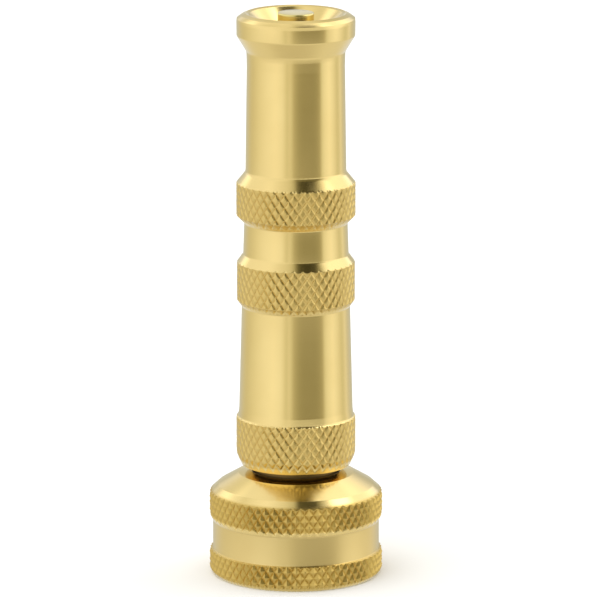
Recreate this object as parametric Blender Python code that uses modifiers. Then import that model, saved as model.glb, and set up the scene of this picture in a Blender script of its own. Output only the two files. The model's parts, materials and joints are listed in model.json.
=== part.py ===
"""Brass twist nozzle for a garden hose: swivel coupling, threaded stem and sliding barrel.

Everything is turned about the Z axis and stands on the coupling's open end, +Z up.
Sizes below are in millimetres; MM turns them into metres when a mesh is made.
"""

import math

import bmesh
import bpy

MM = 0.001
STEPS = 48                  # facets round the large turned pieces
SMALL_STEPS = 32            # facets round the inner pieces
MERGE = 0.00001             # metres
SHARP_ANGLE = math.radians(25)
GAP = 0.3                   # between faces that touch on the real thing

# Coupling nut, a female 3/4 in garden hose coupling
NUT_BAND_R = 15.6
NUT_GROOVE_R = 14.95
NUT_FOOT_R = 14.85
NUT_LOWER_BAND = (0.95, 4.3)
NUT_GROOVE = (4.6, 9.6)
NUT_UPPER_BAND = (10.9, 14.8)
NUT_CONE = ((14.0, 16.25), (10.35, 18.4))   # (radius, height) at its foot and at its top
NUT_TOP = (8.3, 18.9)
NUT_HOLE_R = 8.05
SOCKET_MOUTH_R = 13.85
SOCKET_R = 13.6             # clears the crests of the hose's male thread
SOCKET_DEPTH = 8.6
SEAT_R = 12.95
SEAT_Z = 8.9
SHOULDER_Z = 15.4

# Rings held in the coupling
HOSE_WASHER_R = (7.95, 12.65)
HOSE_WASHER_Z = (9.0, 12.0)
SWIVEL_WASHER_R = (8.1, 11.4)
SWIVEL_WASHER_Z = (14.6, 15.1)

# Stem
FLANGE_R = 11.8
FLANGE_Z = (HOSE_WASHER_Z[1] + GAP, SWIVEL_WASHER_Z[0] - GAP)
NECK_R = 7.7
NECK_TOP_Z = 22.0
THREAD_RELIEF_R = 6.5
STEM_THREAD_R = 7.1
STEM_THREAD_Z = (23.2, 37.0)
GLAND_R = 6.4
GLAND_TOP_Z = 57.5
GROOVE_FLOOR_R = 4.9
GROOVE_WIDTH = 2.4
SEAL_Z = (48.2, 53.2)
TUBE_R = 5.0
TUBE_Z = (58.5, 88.3)
WATERWAY_R = 3.75
WATERWAY_MOUTH_R = 5.0
PORT_R = 1.6
PORT_Z = 79.5
SEAL_RING_R = 5.85          # middle of the ring's section
SEAL_SECTION_R = 0.65

# Spray tip, the plug that closes the stem and shapes the spray
TIP_SHANK_R = WATERWAY_R - GAP
TIP_SHANK_Z = 83.0
TIP_COLLAR_Z = (TUBE_Z[1] + GAP, 90.7)
TIP_GROOVE_R = 3.2
TIP_LIP_R = 4.3
TIP_LIP_Z = (93.2, 93.5)
BOSS_R = 3.25
BOSS_Z = (94.8, 102.0)
BOSS_CHAMFER = 0.3
SHUTOFF_RING_R = 4.45
SHUTOFF_SECTION_R = 0.9
SHUTOFF_Z = 91.95

# Barrel
BARREL_FOOT_Z = 19.95
BARREL_FOOT_R = 9.75
LOW_BAND_R = 10.7
LOW_BAND_Z = (23.0, 28.7)
LOWER_TUBE = ((29.1, 10.26), (49.0, 9.68))
MID_BAND_R = 10.55
MID_BAND_Z = (50.2, 57.0)
MIDDLE_TUBE = ((58.4, 9.44), (64.2, 9.22))
TOP_BAND_R = 10.64
TOP_BAND_Z = (65.6, 71.4)
UPPER_TUBE = ((73.4, 8.98), (94.2, 8.75))
FLARE_Z = 95.1
FLARE_R = 8.85
MUZZLE_R = 10.56
MUZZLE_Z = (98.0, 100.6)
LIP = ((10.48, 101.0), (9.74, 101.55), (8.9, 101.9))
MOUTH_R = 8.5
MOUTH_Z = 101.7
THROAT_R = 3.55
THROAT_Z = (94.8, 97.5)
CHAMBER_R = 6.8
CHAMBER_Z = (38.5, 91.2)
BARREL_THREAD_R = 7.4
BARREL_THREAD_Z = (22.6, 38.2)
COUNTERBORE_R = 8.1


def clear_scene():
    for obj in list(bpy.data.objects):
        bpy.data.objects.remove(obj, do_unlink=True)


def collection(name):
    made = bpy.data.collections.new(name)
    bpy.context.scene.collection.children.link(made)
    return made


def material(name, colour, metallic, roughness):
    made = bpy.data.materials.new(name)
    made.use_nodes = True
    shader = made.node_tree.nodes["Principled BSDF"]
    shader.inputs["Base Color"].default_value = (*colour, 1.0)
    shader.inputs["Metallic"].default_value = metallic
    shader.inputs["Roughness"].default_value = roughness
    return made


def finish(obj, target, mat):
    """Give a solid its material, crisp turned edges and its place in the collection."""
    obj.data.materials.clear()
    obj.data.materials.append(mat)
    obj.data.shade_smooth()
    obj.data.set_sharp_from_angle(angle=SHARP_ANGLE)
    for home in list(obj.users_collection):
        home.objects.unlink(obj)
    target.objects.link(obj)


def turned(name, profile, steps, target, mat, closed=True):
    """A profile of (radius, height) points turned about Z; it runs down the outer side first."""
    bm = bmesh.new()
    verts = [bm.verts.new((r * MM, 0.0, z * MM)) for r, z in profile]
    for a, b in zip(verts, verts[1:]):
        bm.edges.new((a, b))
    if closed:
        bm.edges.new((verts[-1], verts[0]))
    outline = bpy.data.meshes.new(name + "_outline")
    bm.to_mesh(outline)
    bm.free()
    obj = bpy.data.objects.new(name, outline)
    target.objects.link(obj)
    screw = obj.modifiers.new("turn", "SCREW")
    screw.axis = "Z"
    screw.steps = steps
    screw.render_steps = steps
    screw.use_merge_vertices = True
    screw.merge_threshold = MERGE
    solid = bpy.data.meshes.new_from_object(obj.evaluated_get(bpy.context.evaluated_depsgraph_get()))
    solid.name = name
    obj.modifiers.clear()
    obj.data = solid
    bpy.data.meshes.remove(outline)
    finish(obj, target, mat)
    return obj


def flat_ring(name, radii, heights, edge, target, mat):
    """A flat washer with its four edges broken by a small chamfer."""
    inner, outer = radii
    low, high = heights
    profile = [
        (outer - edge, high),
        (outer, high - edge),
        (outer, low + edge),
        (outer - edge, low),
        (inner + edge, low),
        (inner, low + edge),
        (inner, high - edge),
        (inner + edge, high),
    ]
    return turned(name, profile, SMALL_STEPS, target, mat)


def o_ring(name, ring_r, section_r, z, target, mat):
    bpy.ops.mesh.primitive_torus_add(
        major_radius=ring_r * MM,
        minor_radius=section_r * MM,
        major_segments=SMALL_STEPS,
        minor_segments=10,
        location=(0.0, 0.0, z * MM),
    )
    obj = bpy.context.object
    obj.name = name
    obj.data.name = name
    finish(obj, target, mat)
    return obj


def coupling_nut(target, mat):
    profile = [
        NUT_TOP,
        NUT_CONE[1],
        NUT_CONE[0],
        (NUT_BAND_R, NUT_UPPER_BAND[1]),
        (NUT_BAND_R, NUT_UPPER_BAND[0]),
        (NUT_GROOVE_R, NUT_GROOVE[1]),
        (NUT_GROOVE_R, NUT_GROOVE[0]),
        (NUT_BAND_R, NUT_LOWER_BAND[1]),
        (NUT_BAND_R, NUT_LOWER_BAND[0]),
        (NUT_FOOT_R, 0.0),
        (SOCKET_MOUTH_R, 0.0),
        (SOCKET_R, SOCKET_MOUTH_R - SOCKET_R),
        (SOCKET_R, SOCKET_DEPTH),
        (SEAT_R, SEAT_Z),
        (SEAT_R, SHOULDER_Z),
        (NUT_HOLE_R, SHOULDER_Z),
        (NUT_HOLE_R, NUT_TOP[1]),
    ]
    return turned("coupling_nut", profile, STEPS, target, mat)


def seal_groove(middle):
    """The four corners of an O-ring groove in the stem, from its top edge down."""
    half = GROOVE_WIDTH / 2
    return [
        (GLAND_R, middle + half),
        (GROOVE_FLOOR_R, middle + half),
        (GROOVE_FLOOR_R, middle - half),
        (GLAND_R, middle - half),
    ]


def port_cutter(angle, cutters):
    """A cross drill that opens two water ports, one on each side of the stem."""
    bpy.ops.mesh.primitive_cylinder_add(
        vertices=16,
        radius=PORT_R * MM,
        depth=4 * TUBE_R * MM,
        location=(0.0, 0.0, PORT_Z * MM),
        rotation=(math.radians(90), 0.0, angle),
    )
    obj = bpy.context.object
    obj.name = f"cutter_port_{round(math.degrees(angle))}"
    for home in list(obj.users_collection):
        home.objects.unlink(obj)
    cutters.objects.link(obj)
    obj.hide_render = True
    obj.display_type = "WIRE"
    return obj


def stem(target, cutters, mat):
    low, high = STEM_THREAD_Z
    profile = [
        (TUBE_R, TUBE_Z[1]),
        (TUBE_R, TUBE_Z[0]),
        (GLAND_R, GLAND_TOP_Z),
        *seal_groove(SEAL_Z[1]),
        *seal_groove(SEAL_Z[0]),
        (GLAND_R, high + 0.7),
        (STEM_THREAD_R, high),
        (STEM_THREAD_R, low),
        (THREAD_RELIEF_R, low - 0.6),
        (THREAD_RELIEF_R, NECK_TOP_Z + 0.2),
        (NECK_R - 0.3, NECK_TOP_Z),
        (NECK_R, NECK_TOP_Z - 0.3),
        (NECK_R, FLANGE_Z[1]),
        (FLANGE_R, FLANGE_Z[1]),
        (FLANGE_R, FLANGE_Z[0]),
        (WATERWAY_MOUTH_R, FLANGE_Z[0]),
        (WATERWAY_R, FLANGE_Z[0] + WATERWAY_MOUTH_R - WATERWAY_R),
        (WATERWAY_R, TUBE_Z[1]),
    ]
    obj = turned("stem", profile, SMALL_STEPS, target, mat)
    for angle in (0.0, math.radians(90)):
        cut = obj.modifiers.new("port", "BOOLEAN")
        cut.operation = "DIFFERENCE"
        cut.solver = "EXACT"
        cut.object = port_cutter(angle, cutters)
    return obj


def spray_tip(target, mat):
    profile = [
        (0.0, BOSS_Z[1]),
        (BOSS_R - BOSS_CHAMFER, BOSS_Z[1]),
        (BOSS_R, BOSS_Z[1] - BOSS_CHAMFER),
        (BOSS_R, BOSS_Z[0]),
        (TIP_LIP_R, TIP_LIP_Z[1]),
        (TIP_LIP_R, TIP_LIP_Z[0]),
        (TIP_GROOVE_R, TIP_LIP_Z[0]),
        (TIP_GROOVE_R, TIP_COLLAR_Z[1]),
        (TUBE_R, TIP_COLLAR_Z[1]),
        (TUBE_R, TIP_COLLAR_Z[0]),
        (TIP_SHANK_R, TIP_COLLAR_Z[0]),
        (TIP_SHANK_R, TIP_SHANK_Z + 0.6),
        (TIP_SHANK_R - 0.6, TIP_SHANK_Z),
        (0.0, TIP_SHANK_Z),
    ]
    return turned("spray_tip", profile, SMALL_STEPS, target, mat, closed=False)


def barrel(target, mat):
    profile = [
        *reversed(LIP),
        (MUZZLE_R, MUZZLE_Z[1]),
        (MUZZLE_R, MUZZLE_Z[0]),
        (FLARE_R, FLARE_Z),
        (UPPER_TUBE[1][1], UPPER_TUBE[1][0]),
        (UPPER_TUBE[0][1], UPPER_TUBE[0][0]),
        (TOP_BAND_R, TOP_BAND_Z[1]),
        (TOP_BAND_R, TOP_BAND_Z[0]),
        (MIDDLE_TUBE[1][1], MIDDLE_TUBE[1][0]),
        (MIDDLE_TUBE[0][1], MIDDLE_TUBE[0][0]),
        (MID_BAND_R, MID_BAND_Z[1]),
        (MID_BAND_R, MID_BAND_Z[0]),
        (LOWER_TUBE[1][1], LOWER_TUBE[1][0]),
        (LOWER_TUBE[0][1], LOWER_TUBE[0][0]),
        (LOW_BAND_R, LOW_BAND_Z[1]),
        (LOW_BAND_R, LOW_BAND_Z[0]),
        (LOW_BAND_R - 0.08, LOW_BAND_Z[0] - 1.1),
        (BARREL_FOOT_R, BARREL_FOOT_Z),
        (COUNTERBORE_R, BARREL_FOOT_Z),
        (COUNTERBORE_R, BARREL_THREAD_Z[0]),
        (BARREL_THREAD_R, BARREL_THREAD_Z[0]),
        (BARREL_THREAD_R, BARREL_THREAD_Z[1]),
        (CHAMBER_R, CHAMBER_Z[0]),
        (CHAMBER_R, CHAMBER_Z[1]),
        (THROAT_R, THROAT_Z[0]),
        (THROAT_R, THROAT_Z[1]),
        (MOUTH_R, MOUTH_Z),
    ]
    return turned("barrel", profile, STEPS, target, mat)


def main():
    clear_scene()
    parts = collection("hose_twist_nozzle")
    cutters = collection("cutters")
    brass = material("turned_brass", (0.83, 0.62, 0.26), 1.0, 0.3)
    rubber = material("black_rubber", (0.03, 0.03, 0.03), 0.0, 0.7)
    nylon = material("white_nylon", (0.8, 0.78, 0.7), 0.0, 0.5)

    coupling_nut(parts, brass)
    flat_ring("hose_washer", HOSE_WASHER_R, HOSE_WASHER_Z, 0.3, parts, rubber)
    flat_ring("swivel_washer", SWIVEL_WASHER_R, SWIVEL_WASHER_Z, 0.1, parts, nylon)
    stem(parts, cutters, brass)
    o_ring("stem_o_ring_rear", SEAL_RING_R, SEAL_SECTION_R, SEAL_Z[0], parts, rubber)
    o_ring("stem_o_ring_front", SEAL_RING_R, SEAL_SECTION_R, SEAL_Z[1], parts, rubber)
    spray_tip(parts, brass)
    o_ring("shutoff_o_ring", SHUTOFF_RING_R, SHUTOFF_SECTION_R, SHUTOFF_Z, parts, rubber)
    barrel(parts, brass)


main()
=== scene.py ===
"""Looks of the twist hose nozzle: fine turned and knurled brass, rubber rings, studio and camera.

Lengths are in millimetres unless a name says otherwise. Heights are above the coupling's open
end, which is the frame's origin, and radii are from the nozzle's axis, which is the frame's Z.
"""

import json
import math

import bpy
import numpy as np
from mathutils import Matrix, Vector


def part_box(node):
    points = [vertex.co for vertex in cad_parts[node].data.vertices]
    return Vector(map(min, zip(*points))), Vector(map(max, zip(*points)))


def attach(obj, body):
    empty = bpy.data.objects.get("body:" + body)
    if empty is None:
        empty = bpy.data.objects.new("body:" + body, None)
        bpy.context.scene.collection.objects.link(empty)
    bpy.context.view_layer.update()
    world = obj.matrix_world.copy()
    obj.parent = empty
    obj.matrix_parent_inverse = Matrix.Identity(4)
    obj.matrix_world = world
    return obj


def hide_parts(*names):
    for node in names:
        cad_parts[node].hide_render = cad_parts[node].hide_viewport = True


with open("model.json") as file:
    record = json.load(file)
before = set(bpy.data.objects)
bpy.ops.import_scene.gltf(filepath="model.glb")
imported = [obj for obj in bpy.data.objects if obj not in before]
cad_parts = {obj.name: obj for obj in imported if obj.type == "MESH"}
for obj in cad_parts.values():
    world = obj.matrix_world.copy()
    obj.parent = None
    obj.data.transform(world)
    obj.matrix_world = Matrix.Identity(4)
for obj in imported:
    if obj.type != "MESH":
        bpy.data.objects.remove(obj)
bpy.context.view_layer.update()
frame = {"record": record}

MM = 0.001
TURN = 2 * math.pi

# Diamond knurls
KNURL_RISE = 2.33           # height of one diamond
KNURL_CELLS = 12            # mesh cells across one diamond
NUT_KNURLS = 60             # diamonds round the nut
NUT_KNURL_DEPTH = 0.46
NUT_GROOVE_SHARE = 0.95     # share of the pitch that the V grooves take up
BARREL_KNURLS = 41
BARREL_KNURL_DEPTH = 0.2
BARREL_GROOVE_SHARE = 0.46
KNURL_GRIT = 0.045          # unevenness of the metal that the wheel squeezes up

# Right-hand threads, with their smallest and largest radii
HOSE_PITCH = 25.4 / 11.5
HOSE_THREAD_R = (12.35, 13.5)
STEM_PITCH = 3.0
STEM_THREAD_R = (6.65, 7.45)
THREAD_PLAY = 0.12          # clearance all round between the stem's thread and the barrel's

# Smoothness of the turned pieces
STEM_COLUMNS = 192
RING_COLUMNS = 160
TIP_COLUMNS = 128
SHARP_ANGLE = math.radians(33)
FLAT_ENOUGH = 0.003         # a cell this close to flat stays one face

BRASS_TONE = (0.92, 0.72, 0.305)
TIP_TONE = (0.84, 0.72, 0.3)
SHADE_AND_BROWN_TONE = (0.6, 0.405, 0.085)   # painted shade in the knurls' grooves, darker the deeper the cut; it also browns the threads, the knurled bands and the tip's boss
GLANCING_SHEEN_TONE = (0.9, 0.82, 0.62)       # painted sheen: paler brass where the surface is seen at a glancing angle
# painted shade: the dark brown laid where shade falls in hollows and gaps
PAINTED_SHADE_TONE = (0.13, 0.075, 0.02)


def heights(node):
    """Lowest and highest point of a CAD node."""
    low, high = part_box(node)
    return low[2] / MM, high[2] / MM


def outer_radius(node):
    """Largest radius of a CAD node about the frame's Z."""
    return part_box(node)[1][0] / MM


# ---------------------------------------------------------------- profiles


def corner(before, here, after, radius, steps):
    """A fillet of the given radius between two straight runs, as points from one to the other."""
    p, a, b = (np.array(q[:2], float) for q in (here, before, after))
    u = (a - p) / np.linalg.norm(a - p)
    v = (b - p) / np.linalg.norm(b - p)
    half = math.acos(np.clip(u @ v, -1, 1)) / 2
    if radius <= 0 or half > math.radians(89.5):
        return [tuple(p)]
    reach = min(radius / math.tan(half), 0.48 * min(np.linalg.norm(a - p), np.linalg.norm(b - p)))
    radius = reach * math.tan(half)
    middle = p + (u + v) / np.linalg.norm(u + v) * radius / math.sin(half)
    start, end = p + u * reach - middle, p + v * reach - middle
    sweep = math.atan2(start[0] * end[1] - start[1] * end[0], start @ end)
    points = []
    for i in range(steps + 1):
        angle = sweep * i / steps
        c, s = math.cos(angle), math.sin(angle)
        points.append(tuple(middle + (c * start[0] - s * start[1], s * start[0] + c * start[1])))
    return points


def outline(corners, closed=True, steps=4):
    """Points along a profile of (radius, height, fillet radius) corners."""
    points = []
    count = len(corners)
    for i, here in enumerate(corners):
        if not closed and i in (0, count - 1):
            points.append(here[:2])
            continue
        points += corner(corners[i - 1], here, corners[(i + 1) % count], here[2], steps)
    return points


def with_rows(points, low, high, step, inside=None):
    """Adds a point wherever the profile crosses a multiple of step between two heights.

    inside limits this to the part of the profile within that radius. Without it, only the outer
    side of the profile, which runs downwards, gets the points.
    """
    out = []
    for (r0, z0), (r1, z1) in zip(points, points[1:] + points[:1]):
        out.append((r0, z0))
        if inside is not None and max(r0, r1) > inside:
            continue
        if inside is None and z1 > z0:
            continue
        a, b = sorted((z0, z1))
        first = math.ceil(max(a, low) / step + 1e-6)
        last = math.floor(min(b, high) / step - 1e-6)
        marks = [k * step for k in range(first, last + 1)]
        for z in marks if z1 > z0 else reversed(marks):
            share = (z - z0) / (z1 - z0)
            out.append((r0 + share * (r1 - r0), z))
    return out


# ---------------------------------------------------------------- surface relief


def wave(x):
    """0 at whole numbers and 1 half way between them, with straight sides."""
    return 1 - np.abs(2 * (x - np.floor(x)) - 1)


def knurl(z, theta, count, share):
    """Depth of a diamond knurl, from 1 along its grooves to 0 on its flats.

    The wheel's pressure varied a little on its way round, so some grooves are shallower.
    """
    across = count * theta / TURN
    along = z / KNURL_RISE
    left = np.clip(wave(across + along) / share, 0, 1)
    right = np.clip(wave(across - along) / share, 0, 1)
    pressure = 0.9 + 0.06 * np.sin(3 * theta + 0.8) + 0.04 * np.sin(17 * theta + 0.9 * z)
    return (1 - np.minimum(left, right)) * pressure


def grit(z, theta):
    """Uneven squeezed metal, from 0 to 1: waves that don't fit one another."""
    coarse = np.sin(2.9 * z + 61 * theta) * np.sin(5.3 * z - 97 * theta)
    fine = np.sin(7.9 * z + 143 * theta) * np.sin(3.1 * z - 181 * theta)
    return 0.5 + 0.25 * (coarse + fine)


def tooth(z, theta, pitch):
    """Height of a right-hand thread, from 0 at its root to 1 at its crest, with rounded flanks."""
    rise = wave(z / pitch - theta / TURN)
    rise = np.clip((rise - 0.12) / 0.76, 0, 1)
    return rise * rise * (3 - 2 * rise)


def ramp(z, low, high, fade):
    """1 between two heights, falling to 0 over a distance outside them."""
    return np.clip((z - low) / fade + 1, 0, 1) * np.clip((high - z) / fade + 1, 0, 1)


# ---------------------------------------------------------------- lathe


def lathe(name, points, columns, relief=None, closed=True, marks=None):
    """Turns a profile about Z. It runs down the outer side first, so that faces point out.

    relief(r, z, theta) gives the cut radius of each blank point. Where the surface is cut, each
    cell is split along the diagonal that follows it better. The depth of the cut, in
    millimetres, is kept on the vertices as the attribute "recess". marks names further
    attributes, each with a function of r and z: one for rougher metal, one for browner metal
    and one for painted shade, which darkens and roughens the metal where shade falls. A profile
    that isn't closed gets a point at each end.
    """
    r, z = np.array(points, float).T
    theta = np.arange(columns) * TURN / columns
    cut = np.repeat(r[:, None], columns, 1)
    if relief:
        cut = relief(r[:, None], z[:, None], theta[None, :])
    rows = len(r)
    verts = np.empty((rows, columns, 3))
    verts[..., 0] = cut * np.cos(theta)
    verts[..., 1] = cut * np.sin(theta)
    verts[..., 2] = z[:, None]

    spans = rows if closed else rows - 1
    i = np.arange(spans)[:, None]
    j = np.arange(columns)[None, :]
    i1, j1 = (i + 1) % rows, (j + 1) % columns
    a, b = i * columns + j, i1 * columns + j
    c, d = i1 * columns + j1, i * columns + j1
    radii = cut.ravel()
    middle = (radii[a] + radii[b] + radii[c] + radii[d]) / 4
    if relief:
        mid_r, mid_z = (r[i] + r[i1]) / 2, (z[i] + z[i1]) / 2
        middle = relief(mid_r, mid_z, theta[j] + TURN / columns / 2)
    error_ac = np.abs((radii[a] + radii[c]) / 2 - middle)
    error_bd = np.abs((radii[b] + radii[d]) / 2 - middle)
    plain = np.maximum(error_ac, error_bd) < FLAT_ENOUGH
    use_ac = ~plain & (error_ac <= error_bd)
    use_bd = ~plain & ~use_ac
    quads = np.stack([a, b, c, d], -1)
    faces = quads[plain].tolist()
    faces += quads[use_ac][:, [0, 1, 2]].tolist() + quads[use_ac][:, [0, 2, 3]].tolist()
    faces += quads[use_bd][:, [0, 1, 3]].tolist() + quads[use_bd][:, [1, 2, 3]].tolist()
    verts = verts.reshape(-1, 3)
    values = {"recess": np.abs(cut - r[:, None])}
    for key, value in (marks or {}).items():
        values[key] = np.repeat(value(r, z)[:, None], columns, 1)
    if not closed:
        top, bottom = len(verts), len(verts) + 1
        verts = np.vstack([verts, [(0, 0, z[0]), (0, 0, z[-1])]])
        last = (rows - 1) * columns
        for k in range(columns):
            after = (k + 1) % columns
            faces.append((k, after, top))
            faces.append((last + after, last + k, bottom))

    mesh = bpy.data.meshes.new(name)
    mesh.from_pydata((verts * MM).tolist(), [], faces)
    for key, value in values.items():
        spread = np.append(value.ravel(), np.zeros(len(verts) - value.size))
        mesh.attributes.new(key, "FLOAT", "POINT").data.foreach_set("value", spread)
    mesh.shade_smooth()
    mesh.set_sharp_from_angle(angle=SHARP_ANGLE)
    obj = bpy.data.objects.new(name, mesh)
    bpy.context.scene.collection.objects.link(obj)
    return obj


def stand_for(obj, node, mat):
    """Puts a detailed piece in the place of its CAD node, with the node's body."""
    obj.data.materials.append(mat)
    body = next(b for b, nodes in frame["record"]["behaviour"]["bodies"].items() if node in nodes)
    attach(obj, body)
    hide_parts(node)
    return obj


# ---------------------------------------------------------------- materials


class Nodes:
    """A short way to write a node tree."""

    def __init__(self, tree):
        self.tree = tree

    def add(self, kind, **settings):
        node = self.tree.nodes.new(kind)
        for key, value in settings.items():
            setattr(node, key, value)
        return node

    def link(self, source, target):
        self.tree.links.new(source, target)

    def math(self, operation, *values, clamp=False):
        node = self.add("ShaderNodeMath", operation=operation, use_clamp=clamp)
        for socket, value in zip(node.inputs, values):
            if isinstance(value, (int, float)):
                socket.default_value = value
            else:
                self.link(value, socket)
        return node.outputs[0]

    def noise(self, vector, scale, detail=2.0, dimensions="3D"):
        node = self.add("ShaderNodeTexNoise", noise_dimensions=dimensions)
        node.inputs["Scale"].default_value = scale
        node.inputs["Detail"].default_value = detail
        self.link(vector, node.inputs["W" if dimensions == "1D" else "Vector"])
        return node.outputs["Fac"]

    def remap(self, value, low, high, to_low, to_high):
        node = self.add("ShaderNodeMapRange", interpolation_type="SMOOTHSTEP")
        self.link(value, node.inputs["Value"])
        for key, number in (
            ("From Min", low), ("From Max", high), ("To Min", to_low), ("To Max", to_high)
        ):
            node.inputs[key].default_value = number
        return node.outputs["Result"]

    def mix(self, factor, a, b):
        node = self.add("ShaderNodeMix", data_type="RGBA")
        for socket, value in ((node.inputs[0], factor), (node.inputs[6], a), (node.inputs[7], b)):
            if isinstance(value, tuple):
                socket.default_value = (*value, 1.0)
            elif isinstance(value, (int, float)):
                socket.default_value = value
            else:
                self.link(value, socket)
        return node.outputs[2]


def new_material(name):
    mat = bpy.data.materials.new(name)
    mat.use_nodes = True
    shader = mat.node_tree.nodes["Principled BSDF"]
    return mat, Nodes(mat.node_tree), shader


def brass(name, tone, roughness, line_depth, anisotropy):
    """Turned brass: fine rings left by the tool, uneven in tone, browner where its mark says, with
    a painted sheen at glancing angles and painted shade in cuts, hollows and gaps.
    """
    mat, n, shader = new_material(name)
    place = n.add("ShaderNodeTexCoord").outputs["Object"]
    axes = n.add("ShaderNodeSeparateXYZ")
    n.link(place, axes.inputs[0])
    radius = n.math("SQRT", n.math(
        "ADD",
        n.math("MULTIPLY", axes.outputs["X"], axes.outputs["X"]),
        n.math("MULTIPLY", axes.outputs["Y"], axes.outputs["Y"]),
    ))
    # the scales of the noises are per metre
    along = n.math("ADD", axes.outputs["Z"], n.math("MULTIPLY", radius, 0.7))
    fine_rings = n.noise(along, 9000, 1.0, "1D")
    broad_rings = n.noise(along, 1400, 2.0, "1D")
    rings = n.math("ADD", n.math("MULTIPLY", fine_rings, 0.5), n.math("MULTIPLY", broad_rings, 0.5))
    clouds = n.noise(place, 70, 3.0)
    grain = n.noise(place, 2600, 2.0)
    recess, satin, painted_shade, browned = (
        n.add("ShaderNodeAttribute", attribute_name=key).outputs["Fac"]
        for key in ("recess", "satin", "painted_shade", "browned")
    )
    facing = n.add("ShaderNodeLayerWeight")
    facing.inputs["Blend"].default_value = 0.5

    worn = tuple(v * s for v, s in zip(tone, (0.95, 0.92, 0.86)))
    colour = n.mix(n.remap(clouds, 0.35, 0.7, 0.0, 0.5), tone, worn)
    # painted sheen: the colour turns paler towards glancing angles, standing in for the pale
    # surround mirrored there
    colour = n.mix(n.remap(facing.outputs["Facing"], 0.5, 1.0, 0.0, 0.8), colour, GLANCING_SHEEN_TONE)
    # painted shade: the further the cut surface lies from the turned profile, the browner and
    # darker the brass; joined with the mark for browner brass
    shade_and_brown = n.math("MAXIMUM", n.remap(recess, 0.05, 0.35, 0.0, 0.85), browned)
    colour = n.mix(shade_and_brown, colour, SHADE_AND_BROWN_TONE)
    # painted shade: dark brown where its mark lies, in the nut's hole, under the barrel's foot and
    # on the stem's neck
    colour = n.mix(n.math("MULTIPLY", painted_shade, 0.9), colour, PAINTED_SHADE_TONE)
    n.link(colour, shader.inputs["Base Color"])
    shader.inputs["Metallic"].default_value = 1.0

    rough = n.remap(clouds, 0.3, 0.75, roughness - 0.02, roughness + 0.03)
    rough = n.math("ADD", rough, n.math("MULTIPLY", rings, 0.04))
    rough = n.math("ADD", rough, n.math("MULTIPLY", satin, 0.2))
    # the painted shade's mark also makes the metal rougher
    rough = n.math("ADD", rough, n.math("MULTIPLY", painted_shade, 0.25))
    n.link(rough, shader.inputs["Roughness"])
    shader.inputs["Anisotropic"].default_value = anisotropy
    shader.inputs["Anisotropic Rotation"].default_value = 0.25
    tangent = n.add("ShaderNodeTangent", direction_type="RADIAL", axis="Z")
    n.link(tangent.outputs[0], shader.inputs["Tangent"])

    bump = n.add("ShaderNodeBump")
    bump.inputs["Strength"].default_value = 1.0
    bump.inputs["Distance"].default_value = line_depth * MM
    grainy = n.math("MULTIPLY", grain, n.math("ADD", n.math("MULTIPLY", satin, 2.0), 0.25))
    n.link(n.math("ADD", rings, grainy), bump.inputs["Height"])
    n.link(bump.outputs["Normal"], shader.inputs["Normal"])
    return mat


def rubber(name):
    """Moulded black rubber with a fine matt grain."""
    mat, n, shader = new_material(name)
    place = n.add("ShaderNodeTexCoord").outputs["Object"]
    clouds = n.noise(place, 400, 3.0)
    grain = n.noise(place, 5000, 2.0)
    n.link(n.mix(clouds, (0.016, 0.016, 0.017), (0.04, 0.039, 0.038)), shader.inputs["Base Color"])
    n.link(n.remap(clouds, 0.3, 0.7, 0.55, 0.75), shader.inputs["Roughness"])
    bump = n.add("ShaderNodeBump")
    bump.inputs["Strength"].default_value = 0.5
    bump.inputs["Distance"].default_value = 0.03 * MM
    n.link(grain, bump.inputs["Height"])
    n.link(bump.outputs["Normal"], shader.inputs["Normal"])
    return mat


def nylon(name):
    """Natural nylon, slightly cream and cloudy."""
    mat, n, shader = new_material(name)
    place = n.add("ShaderNodeTexCoord").outputs["Object"]
    clouds = n.noise(place, 300, 2.0)
    n.link(n.mix(clouds, (0.72, 0.69, 0.58), (0.82, 0.8, 0.72)), shader.inputs["Base Color"])
    n.link(n.remap(clouds, 0.3, 0.7, 0.38, 0.5), shader.inputs["Roughness"])
    shader.inputs["Subsurface Weight"].default_value = 0.15
    return mat


# ---------------------------------------------------------------- pieces


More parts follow.
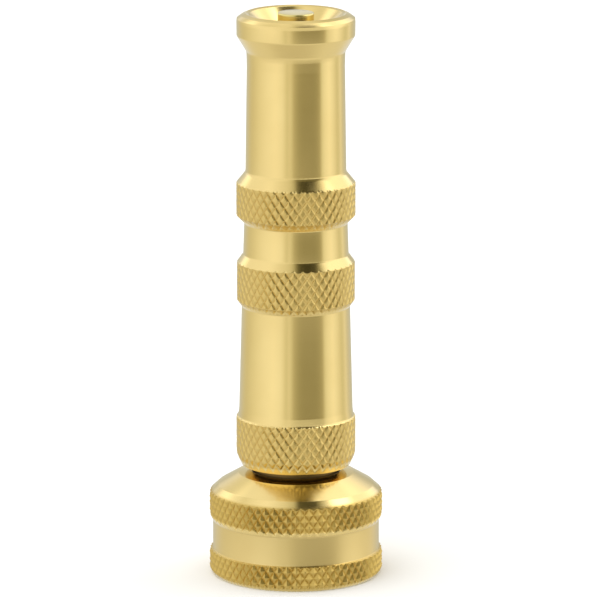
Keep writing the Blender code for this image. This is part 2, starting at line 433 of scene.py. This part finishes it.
def coupling_nut(mat):
    """The female hose coupling: two knurled bands with a plain groove between, and a coned top."""
    foot, top = heights("coupling_nut")
    band = outer_radius("coupling_nut")
    minor, major = HOSE_THREAD_R
    thread_low, thread_high = 0.4, 8.4
    threaded_r = minor + 0.9
    groove = 14.95
    pocket = 12.95          # holds the washers and the stem's flange
    shoulder = 15.4         # the flange bears on it, through the swivel washer
    hole = 8.05
    corners = [
        # the ring round the neck, the cone and the upper band
        (8.35, top, 0.1),
        (10.35, 18.4, 0.12),
        (14.0, 16.25, 0.5),
        (band, 14.8, 0.6),
        (band, 11.0, 0.1),
        # the groove, the lower band and the open end
        (groove, 9.7, 0.3),
        (groove, 4.55, 0.15),
        (band, 4.3, 0.08),
        (band, 0.95, 0.2),
        (14.85, foot, 0.12),
        (13.85, foot, 0.08),
        # the threaded bore, the pocket above it and the hole for the neck
        (minor, 1.4, 0.2),
        (minor, thread_high, 0.15),
        (pocket, 8.9, 0.1),
        (pocket, shoulder, 0.2),
        (hole, shoulder, 0.1),
        (hole, top, 0.1),
    ]
    step = KNURL_RISE / KNURL_CELLS
    points = outline(corners)
    points = with_rows(points, 0.5, 4.6, step)
    points = with_rows(points, 9.9, 16.4, step)
    points = with_rows(points, thread_low, thread_high, HOSE_PITCH / 14, inside=threaded_r)

    def relief(r, z, theta):
        depth = NUT_KNURL_DEPTH * knurl(z, theta, NUT_KNURLS, NUT_GROOVE_SHARE)
        depth = depth + KNURL_GRIT * grit(z, theta)
        banded = (r > 14.2) & ((z > 9.75) | ((z > 0.4) & (z < 4.5)))
        out = np.where(banded, np.minimum(r, band - depth), r)
        cut = (major - minor) * (1 - tooth(z, theta, HOSE_PITCH))
        cut = cut * ramp(z, 1.6, 7.6, 1.0)
        threaded = (r < threaded_r) & (z > thread_low) & (z < thread_high)
        return np.where(threaded, np.maximum(out, minor + cut), out)

    def knurled(r, z):
        return np.maximum(ramp(z, 0.5, 4.4, 0.3), ramp(z, 10.8, 15.2, 0.2)) * (r > groove + 0.02)

    def grooved(r, z):
        return ramp(z, 4.7, 9.8, 0.3) * (r > 14)

    def satin(r, z):
        return np.maximum(grooved(r, z), knurled(r, z))

    # painted shade: dark inside the hole round the stem's neck, and faintly in the groove between
    # the bands
    def painted_shade(r, z):
        return np.maximum((r < hole + 0.05) * (z > 15), 0.12 * grooved(r, z))

    # browner brass on the knurled bands
    def browned(r, z):
        return 0.75 * knurled(r, z)

    marks = {"satin": satin, "painted_shade": painted_shade, "browned": browned}
    obj = lathe("coupling_nut_detail", points, NUT_KNURLS * KNURL_CELLS, relief, marks=marks)
    return stand_for(obj, "coupling_nut", mat)


def barrel(mat):
    """The turned tube that screws along the stem, from its knurled foot to its flared mouth."""
    foot, lip = heights("barrel")
    low_band = outer_radius("barrel")
    middle_band, top_band = 10.55, 10.64
    hole = 8.1              # clears the stem's neck
    minor = STEM_THREAD_R[0] + THREAD_PLAY
    thread_low, thread_high = 22.3, 38.2
    bore = 6.8
    throat = 3.55
    corners = [
        # the lip, the muzzle and the flare below it
        (8.9, lip, 0.15),
        (9.74, 101.55, 0.3),
        (10.5, 100.98, 0.04),
        (10.56, 100.35, 0.5),
        (10.52, 97.95, 0.5),
        (8.8, 95.1, 0.9),
        # the upper tube and the top band
        (8.75, 94.2, 1.0),
        (8.71, 92.5, 3.0),
        (8.98, 73.4, 1.2),
        (top_band, 71.35, 0.1),
        (top_band, 65.6, 0.12),
        # the short tube and the middle band
        (9.22, 64.15, 0.25),
        (9.42, 58.5, 0.5),
        (middle_band, 56.95, 0.1),
        (middle_band, 50.2, 0.12),
        # the lower tube, the low band and the rounded foot
        (9.68, 49.0, 0.25),
        (10.17, 30.3, 1.5),
        (10.3, 29.15, 0.3),
        (10.34, 28.95, 0.05),
        (low_band, 28.7, 0.1),
        (low_band, 23.0, 0.3),
        (10.62, 21.9, 1.2),
        (9.75, foot, 0.3),
        # the hole, the threaded bore and the water's way
        (hole, foot, 0.12),
        (hole, thread_low, 0.1),
        (minor, 22.9, 0.1),
        (minor, 38.4, 0.1),
        (bore, 38.6, 0.02),
        (bore, 91.2, 0.2),
        # the seat, the throat and the mouth's cone
        (throat, 94.8, 0.15),
        (throat, 97.5, 0.3),
        (8.35, lip - 0.2, 0.45),
    ]
    # where each knurl starts and is at full depth, its band's edge, its top and the band's radius
    bands = [
        (20.7, 21.1, 23.2, 29.0, low_band),
        (49.1, 49.9, 50.2, 57.6, middle_band),
        (64.2, 65.2, 65.6, 72.0, top_band),
    ]
    points = outline(corners, steps=5)
    for start, _, _, high, _ in bands:
        points = with_rows(points, start, high, KNURL_RISE / KNURL_CELLS)
    points = with_rows(points, thread_low, thread_high, STEM_PITCH / 15, inside=hole)

    def relief(r, z, theta):
        out = np.broadcast_to(r, np.broadcast_shapes(r.shape, theta.shape)).copy()
        grooves = BARREL_KNURL_DEPTH * knurl(z, theta, BARREL_KNURLS, BARREL_GROOVE_SHARE)
        grooves = grooves + KNURL_GRIT * grit(z, theta)
        for start, full, edge, high, crest in bands:
            here = (r > 8.9) & (z > start) & (z < high)
            fade = np.clip((z - start) / (full - start), 0, 1)
            cut = np.where(z < edge, r - grooves * fade, np.minimum(r, crest - grooves))
            out = np.where(here, cut, out)
        depth = STEM_THREAD_R[1] - STEM_THREAD_R[0]
        # the thread runs out at its top, and is cut right through at the barrel's open end
        thread = minor + depth * tooth(z, theta, STEM_PITCH) * ramp(z, foot, 37.4, 0.8)
        threaded = (r < hole) & (z > thread_low) & (z < thread_high + 0.1)
        return np.where(threaded, np.maximum(out, thread), out)

    def knurled(r, z):
        value = np.zeros_like(r)
        for start, full, edge, high, crest in bands:
            value = np.maximum(value, (r > crest - 0.05) * (z > edge) * (z < high))
            value = np.maximum(value, ramp(z, full, edge, 0.6 * (full - start)) * (r > 8.9))
        return value

    def satin(r, z):
        return 0.25 + 0.65 * knurled(r, z)

    # browner brass on the knurled bands
    def browned(r, z):
        return 0.48 * knurled(r, z)

    # painted shade on the underside of the foot, which faces the nut across a narrow gap
    def painted_shade(r, z):
        return 0.3 * (z < foot + 0.1)

    marks = {"satin": satin, "painted_shade": painted_shade, "browned": browned}
    obj = lathe("barrel_detail", points, BARREL_KNURLS * KNURL_CELLS, relief, marks=marks)
    return stand_for(obj, "barrel", mat)


def stem(mat):
    """The hollow spindle: flange, neck, thread, two O-ring grooves and a tube with side ports."""
    foot, top = heights("stem")
    flange = outer_radius("stem")
    flange_top = foot + 2.0
    neck, neck_top = 7.7, 22.0
    root, crest = STEM_THREAD_R
    thread_low, thread_high = 22.7, 38.2
    body = 6.4
    gland, gland_width = 4.95, 2.4
    tube = 5.0
    waterway = 3.75
    port_height, port_radius = 79.5, 1.6
    corners = [(tube, top, 0.15), (tube, 58.6, 0.5), (body, 57.4, 0.2)]
    for gland_top in (54.4, 49.4):
        gland_foot = gland_top - gland_width
        corners += [(body, gland_top, 0.15), (gland, gland_top, 0.1)]
        corners += [(gland, gland_foot, 0.1), (body, gland_foot, 0.15)]
    corners += [
        # the thread
        (body, 38.4, 0.1),
        (root, thread_high, 0.05),
        (root, thread_low, 0.3),
        # the neck and the flange that the nut holds
        (neck - 0.5, neck_top, 0.2),
        (neck, neck_top - 0.5, 0.15),
        (neck, flange_top, 0.3),
        (flange, flange_top, 0.2),
        (flange, foot, 0.2),
        # the way in for the water
        (5.0, foot, 0.3),
        (waterway, foot + 1.3, 0.2),
        (waterway, top, 0.1),
    ]
    points = with_rows(outline(corners), flange_top, neck_top, 0.3)
    points = with_rows(points, thread_low, thread_high, STEM_PITCH / 14)

    def relief(r, z, theta):
        height = (crest - root) * tooth(z, theta, STEM_PITCH) * ramp(z, 23.6, 37.0, 0.8)
        threaded = (np.abs(r - root) < 0.05) & (z > thread_low) & (z < thread_high)
        return np.where(threaded, root + height, r)

    # painted shade on the flange and the neck under the barrel's foot, fading out above 20.4 mm
    def painted_shade(r, z):
        return (r > 7) * (0.1 + 0.9 * ramp(z, foot, 20.4, 1.2)) * (z < neck_top + 0.1)

    obj = lathe("stem_detail", points, STEM_COLUMNS, relief, marks={"painted_shade": painted_shade})
    cross_drill(obj, port_height, port_radius, 2)
    return stand_for(obj, "stem", mat)


def cross_drill(obj, height, radius, drills):
    """Drills straight through a hollow stem, evenly round it, so each pass opens two ports."""
    for i in range(drills):
        bpy.ops.mesh.primitive_cylinder_add(
            vertices=48,
            radius=radius * MM,
            depth=20 * MM,
            location=(0, 0, height * MM),
            rotation=(math.radians(90), 0, math.pi * i / drills),
        )
        cutter = bpy.context.object
        cut = obj.modifiers.new("port", "BOOLEAN")
        cut.operation = "DIFFERENCE"
        cut.solver = "EXACT"
        cut.object = cutter
        drilled = bpy.data.meshes.new_from_object(
            obj.evaluated_get(bpy.context.evaluated_depsgraph_get())
        )
        obj.modifiers.clear()
        old = obj.data
        obj.data = drilled
        bpy.data.meshes.remove(old)
        bpy.data.objects.remove(cutter, do_unlink=True)
    obj.data.set_sharp_from_angle(angle=SHARP_ANGLE)


def spray_tip(mat):
    """The plug in the stem's end: a boss in the throat, the O-ring's groove, a collar, a shank."""
    foot, top = heights("spray_tip")
    centre = 0.05
    boss = 3.25
    lip = 4.3
    groove, groove_foot, groove_top = 3.25, 90.7, 93.2
    collar, collar_foot = 5.0, 88.35
    shank = 3.7
    corners = [
        (centre, top, 0),
        (boss, top, 0.3),
        (boss, 94.8, 0.3),
        (lip, 93.5, 0.1),
        (lip, groove_top, 0.05),
        (groove, groove_top, 0.1),
        (groove, groove_foot, 0.1),
        (collar, groove_foot, 0.1),
        (collar, collar_foot, 0.1),
        (shank, collar_foot, 0.1),
        (shank, foot + 0.6, 0.1),
        (3.1, foot, 0.1),
        (centre, foot, 0),
    ]

    # browner brass on the side of the boss
    def browned(r, z):
        return 0.5 * (r > boss - 0.02) * (z < top - 0.2)

    points = outline(corners, closed=False)
    obj = lathe("spray_tip_detail", points, TIP_COLUMNS, closed=False, marks={"browned": browned})
    return stand_for(obj, "spray_tip", mat)


def o_ring(node, ring_r, section_r, mat):
    """A round-section ring with the fine flash line that moulding leaves inside and out."""
    middle = sum(heights(node)) / 2
    count = 40
    flash = 0.02
    points = []
    for i in range(count):
        angle = TURN / 4 - TURN * i / count
        on_flash_line = i % (count // 2) == count // 4
        r = section_r + (flash if on_flash_line else 0.0)
        points.append((ring_r + r * math.cos(angle), middle + r * math.sin(angle)))
    obj = lathe(node + "_detail", points, RING_COLUMNS)
    return stand_for(obj, node, mat)


def washer(node, inner, edge, mat, rib=0.0):
    """A flat ring. With a rib it has a raised bead on both faces, as a moulded hose washer has."""
    low, high = heights(node)
    outer = outer_radius(node)
    middle = (inner + outer) / 2
    crest, base = 0.35, 0.9     # half widths of the bead
    corners = [(inner, high - rib, edge)]
    if rib:
        corners += [(middle - base, high - rib, 0.2), (middle - crest, high, 0.25)]
        corners += [(middle + crest, high, 0.25), (middle + base, high - rib, 0.2)]
    corners += [(outer, high - rib, edge), (outer, low + rib, edge)]
    if rib:
        corners += [(middle + base, low + rib, 0.2), (middle + crest, low, 0.25)]
        corners += [(middle - crest, low, 0.25), (middle - base, low + rib, 0.2)]
    corners += [(inner, low + rib, edge)]
    obj = lathe(node + "_detail", outline(corners), RING_COLUMNS)
    return stand_for(obj, node, mat)


# ---------------------------------------------------------------- studio


# Brightness of the soft panels, as (azimuth in degrees, brightness), in layers one above another.
# Azimuth 0 is straight in front of the nozzle, and 90 is to the right, seen from the front.
LEVEL_PANELS = [
    (-180, 0.60), (-150, 0.64), (-130, 0.68), (-121, 0.70), (-108, 0.77), (-87, 0.90),
    (-69, 0.99), (-48, 1.06), (-33, 1.0), (-27, 0.90), (-20, 0.70), (-14, 0.83), (-9, 0.68),
    (-4, 0.48), (3, 0.38), (9, 0.32), (18, 0.29), (42, 0.29), (50, 0.34), (57, 0.42),
    (63, 0.82), (70, 0.94), (84, 1.06), (96, 0.93), (110, 0.72), (117, 0.74), (125, 0.88),
    (138, 0.68), (155, 0.60), (180, 0.60),
]
LOW_PANELS = [
    (-180, 0.85), (-172, 0.62), (-160, 0.62), (-150, 0.8), (-140, 1.0), (-120, 0.9), (-90, 1.0),
    (-50, 1.0), (-20, 0.92), (10, 0.9), (50, 0.95), (65, 1.1), (90, 1.3), (115, 1.3),
    (130, 0.95), (150, 0.6), (165, 0.55), (172, 0.6), (180, 0.85),
]
MIDDLE_PANELS = [
    (-180, 0.85), (-172, 0.62), (-166, 0.7), (-159, 0.9), (-149, 0.74), (-142, 1.3),
    (-133, 1.4), (-124, 0.95), (-90, 1.0), (-50, 1.0), (-25, 0.9), (-8, 0.7), (0, 0.3),
    (6, 0.2), (30, 0.16), (54, 0.18), (62, 0.5), (70, 1.0), (90, 1.3), (115, 1.3),
    (130, 1.2), (144, 1.45), (154, 1.1), (163, 0.62), (172, 0.62), (180, 0.85),
]
HIGH_PANELS = [
    (-180, 0.86), (-160, 0.82), (-150, 0.8), (-142, 1.0), (-131, 1.05), (-124, 0.8),
    (-117, 0.78), (-107, 0.93), (-94, 1.02), (-79, 1.06), (-62, 0.97), (-41, 0.85),
    (-16, 0.72), (-5, 0.5), (2, 0.2), (12, 0.08), (32, 0.05), (56, 0.06), (66, 0.35),
    (75, 0.75), (86, 1.3), (97, 2.4), (114, 2.6), (123, 1.5), (130, 1.15), (141, 1.4),
    (150, 0.95), (165, 0.84), (180, 0.86),
]
# The panel overhead, as (sideways part of the direction, brightness), from left to right.
OVERHEAD_PANEL = [
    (-1.0, 0.95), (-0.3, 0.93), (-0.15, 0.8), (-0.03, 0.6), (0.04, 0.1), (0.27, 0.06),
    (0.33, 0.4), (0.40, 1.0), (0.5, 1.4), (1.0, 1.5),
]
TABLE_NEAR = (0.64, 0.62, 0.56)     # straight below
TABLE_FAR = (0.8, 0.79, 0.75)


def panels(n, across, stops):
    """A colour ramp through (position, brightness) stops. The dimmer a panel, the warmer it is."""
    low, high = stops[0][0], stops[-1][0]
    node = n.add("ShaderNodeValToRGB")
    elements = node.color_ramp.elements
    while len(elements) > 1:
        elements.remove(elements[-1])
    for i, (place, level) in enumerate(stops):
        position = (place - low) / (high - low)
        element = elements[0] if i == 0 else elements.new(position)
        element.position = position
        shade = max(0.0, 1 - level)
        element.color = (level, level * (1 - 0.07 * shade), level * (1 - 0.52 * shade), 1.0)
    n.link(across, node.inputs["Fac"])
    return node.outputs["Color"]


def overhead(n, x, y, z):
    """The panel overhead, and its share of the sky. It ends just behind the nozzle."""
    sheared = n.math("SUBTRACT", x, n.math("MULTIPLY", n.math("MAXIMUM", y, 0.0), 0.8))
    across = n.math("ADD", n.math("MULTIPLY", sheared, 0.5), 0.5)
    edge = n.math("SUBTRACT", y, n.math("MULTIPLY", x, 0.35))
    in_front = n.math("SUBTRACT", 1.0, n.remap(edge, 0.04, 0.08, 0.0, 1.0))
    share = n.math("MULTIPLY", n.remap(z, 0.87, 0.93, 0.0, 1.0), in_front)
    return panels(n, across, OVERHEAD_PANEL), share


def studio():
    """Soft panels all round, with one dark gap in front and to the right that runs up overhead."""
    world = bpy.data.worlds.new("studio")
    bpy.context.scene.world = world
    world.use_nodes = True
    tree = world.node_tree
    tree.nodes.clear()
    n = Nodes(tree)
    axes = n.add("ShaderNodeSeparateXYZ")
    n.link(n.add("ShaderNodeTexCoord").outputs["Generated"], axes.inputs[0])
    x, y, z = axes.outputs
    turn = n.math("ARCTAN2", x, n.math("MULTIPLY", y, -1.0))
    azimuth = n.math("ADD", n.math("DIVIDE", turn, TURN), 0.5)
    top, top_share = overhead(n, x, y, z)

    # each layer takes over from the one below as the direction's upward part passes two values
    sky = panels(n, azimuth, LEVEL_PANELS)
    for stops, low, high in (
        (LOW_PANELS, -0.07, 0.02), (MIDDLE_PANELS, 0.13, 0.22), (HIGH_PANELS, 0.68, 0.78)
    ):
        sky = n.mix(n.remap(z, low, high, 0.0, 1.0), sky, panels(n, azimuth, stops))
    sky = n.mix(top_share, sky, top)
    table = n.mix(n.remap(z, -0.95, -0.8, 0.0, 1.0), TABLE_NEAR, TABLE_FAR)
    surround = n.mix(n.remap(z, -0.315, -0.235, 0.0, 1.0), table, sky)
    seen = n.mix(n.add("ShaderNodeLightPath").outputs["Is Camera Ray"], surround, (1.0, 1.0, 1.0))
    back = n.add("ShaderNodeBackground")
    n.link(seen, back.inputs["Color"])
    n.link(back.outputs[0], n.add("ShaderNodeOutputWorld").inputs["Surface"])


def floor():
    """A plain pale floor, lit from above by a soft light that the brass does not mirror."""
    edge = 3000 * MM
    mesh = bpy.data.meshes.new("floor")
    mesh.from_pydata(
        [(-edge, -edge, 0), (edge, -edge, 0), (edge, edge, 0), (-edge, edge, 0)], [], [(0, 1, 2, 3)]
    )
    obj = bpy.data.objects.new("floor", mesh)
    bpy.context.scene.collection.objects.link(obj)
    obj.location.z = -0.05 * MM     # just clear of the nozzle's open end
    mat, n, shader = new_material("pale_floor")
    shader.inputs["Base Color"].default_value = (0.9, 0.9, 0.9, 1.0)
    shader.inputs["Roughness"].default_value = 0.9
    shader.inputs["Specular IOR Level"].default_value = 0.0
    mesh.materials.append(mat)
    obj.visible_glossy = False

    lamp = bpy.data.lights.new("overhead", "SUN")
    lamp.energy = 1.6
    lamp.angle = math.radians(70)
    sun = bpy.data.objects.new("overhead", lamp)
    sun.rotation_euler = (math.radians(12), math.radians(-8), 0)
    sun.visible_glossy = False
    bpy.context.scene.collection.objects.link(sun)


def camera():
    """A long lens about a metre away, a little above the nozzle."""
    distance = 1000.0
    elevation = math.radians(12.4)
    middle = Vector((0, 0, 50.8))
    aside, below = 0.46, 0.62       # the nozzle sits a little left of and above the middle
    back = Vector((0, -math.cos(elevation), math.sin(elevation)))
    up = Vector((0, math.sin(elevation), math.cos(elevation)))
    data = bpy.data.cameras.new("camera")
    data.lens = 337.3
    data.sensor_width = 36.0
    data.clip_start = 10 * MM
    data.clip_end = 20000 * MM
    obj = bpy.data.objects.new("camera", data)
    bpy.context.scene.collection.objects.link(obj)
    obj.location = (middle + back * distance + Vector((aside, 0, 0)) - up * below) * MM
    obj.rotation_euler = (math.radians(90) - elevation, 0, 0)
    bpy.context.scene.camera = obj
    bpy.context.scene.view_settings.view_transform = "Standard"


def main():
    bright = brass("bright_brass", BRASS_TONE, 0.1, line_depth=0.0009, anisotropy=0.3)
    nut = brass("nut_brass", BRASS_TONE, 0.13, line_depth=0.0009, anisotropy=0.75)
    inner = brass("stem_brass", BRASS_TONE, 0.2, line_depth=0.0015, anisotropy=0.3)
    tip = brass("tip_brass", TIP_TONE, 0.2, line_depth=0.0015, anisotropy=0.3)
    black = rubber("black_rubber")
    white = nylon("white_nylon")

    coupling_nut(nut)
    barrel(bright)
    stem(inner)
    spray_tip(tip)
    washer("hose_washer", 7.95, 0.3, black, rib=0.25)
    washer("swivel_washer", 8.1, 0.08, white)
    for name in ("stem_o_ring_rear", "stem_o_ring_front"):
        o_ring(name, 5.86, 0.89, black)
    o_ring("shutoff_o_ring", 4.3, 1.0, black)
    studio()
    floor()
    camera()


main()
